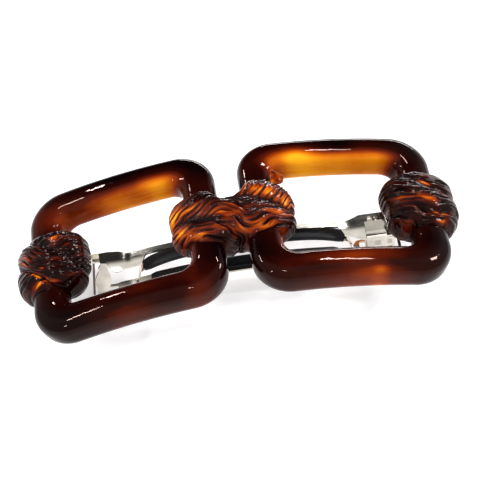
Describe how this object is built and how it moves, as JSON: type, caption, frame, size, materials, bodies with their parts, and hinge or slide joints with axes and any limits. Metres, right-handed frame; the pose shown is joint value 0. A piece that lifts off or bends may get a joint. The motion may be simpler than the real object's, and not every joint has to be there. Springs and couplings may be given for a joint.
{
  "type": "hair barrette",
  "caption": "Chain-link hair barrette: tortoiseshell resin links bound by rope-wrap knots on a hinged spring clip with a squeeze catch.",
  "frame": {"origin": "middle of the footprint, on the surface that the closed clip stands on", "axes": "+X along the length, from the hinge end to the catch end; +Y across the width; +Z from the clip up to the decoration"},
  "size_m": [0.1048, 0.0424, 0.0268],
  "materials": {
    "link_resin": "polished translucent tortoiseshell resin",
    "knot_resin": "polished tortoiseshell resin moulded as wrapped strands",
    "clip_steel": "bright nickel plated sheet steel",
    "pin_steel": "bright nickel plated wire",
    "black_rubber": "satin black rubber",
    "clear_adhesive": "cured clear adhesive"
  },
  "bodies": {
    "base": {"left_link": "link_resin", "right_link": "link_resin", "left_knot": "link_resin", "centre_knot": "knot_resin", "right_knot": "link_resin", "left_adhesive": "clear_adhesive", "centre_adhesive": "clear_adhesive", "right_adhesive": "clear_adhesive", "base_plate": "clip_steel", "hinge_pin": "pin_steel", "catch_saddle": "clip_steel", "catch_rivet": "pin_steel"},
    "arm": {"clasp_arm": "clip_steel", "arm_grip": "black_rubber"},
    "bow": {"bow_spring": "clip_steel", "bow_sleeve": "black_rubber"},
    "front_tab": {"front_catch_tab": "clip_steel"},
    "rear_tab": {"rear_catch_tab": "clip_steel"}
  },
  "joints": [
    {"name": "arm_hinge", "type": "hinge", "parent": "base", "child": "arm", "pos_m": [-0.03279, 0.00092, 0.003], "axis": [0.0279, 0.9996, 0], "range_deg": [0, 80]},
    {"name": "bow_flex", "type": "slide", "parent": "arm", "child": "bow", "axis": [0, 0, -1], "range_m": [0, 0.002], "stiffness_N_per_m": 1500, "deforming": ["bow_spring", "bow_sleeve"]},
    {"name": "front_tab_squeeze", "type": "hinge", "parent": "base", "child": "front_tab", "pos_m": [0.0335, -0.00414, 0.0103], "axis": [0.9996, -0.0279, 0], "range_deg": [0, 8], "stiffness_Nm_per_rad": 0.05},
    {"name": "rear_tab_squeeze", "type": "hinge", "parent": "base", "child": "rear_tab", "pos_m": [0.03368, 0.00226, 0.0103], "axis": [-0.9996, 0.0279, 0], "range_deg": [0, 8], "stiffness_Nm_per_rad": 0.05}
  ]
}
